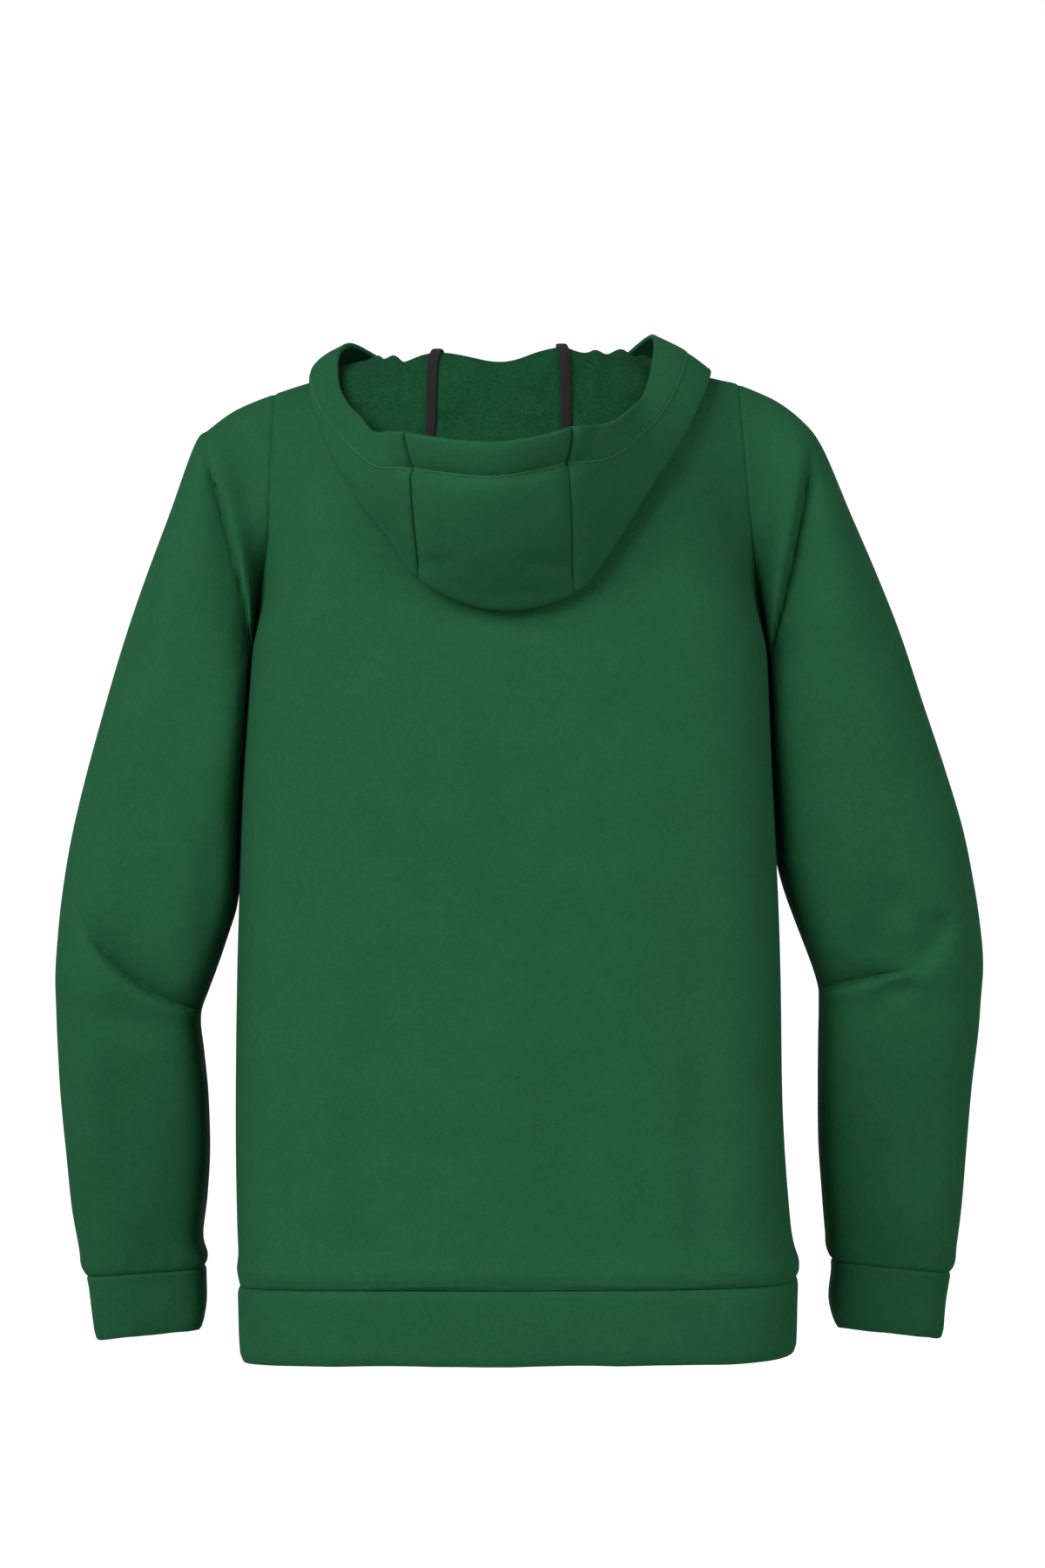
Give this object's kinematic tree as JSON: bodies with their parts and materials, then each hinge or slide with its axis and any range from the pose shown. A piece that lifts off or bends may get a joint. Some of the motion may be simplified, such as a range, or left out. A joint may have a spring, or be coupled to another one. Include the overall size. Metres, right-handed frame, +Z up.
{
  "type": "pullover hoodie",
  "caption": "Long-sleeved pullover hoodie with its hood down on the back, hollow and filled out as if worn, with self-fabric cuffs and hem band.",
  "frame": {"origin": "midway between the two high shoulder points, where the shoulder seams meet the neck seam, where the wearer's shoulders hold the garment up", "axes": "+Z up, +Y towards the wearer's front, +X towards the wearer's right; the picture looks along +Y at the back"},
  "size_m": [0.6945, 0.3438, 0.7641],
  "materials": {
    "fleece": "matte deep green polyester fleece, smooth face and brushed back",
    "seam_tape": "dark grey woven twill tape"
  },
  "bodies": {
    "root": {"back_panel": "fleece", "front_panel": "fleece", "hem_band": "fleece", "hood_centre": "fleece", "hood_side_left": "fleece", "hood_side_right": "fleece", "sleeve_left": "fleece", "cuff_left": "fleece", "seam_tape_left": "seam_tape", "sleeve_right": "fleece", "cuff_right": "fleece", "seam_tape_right": "seam_tape"}
  },
  "joints": []
}
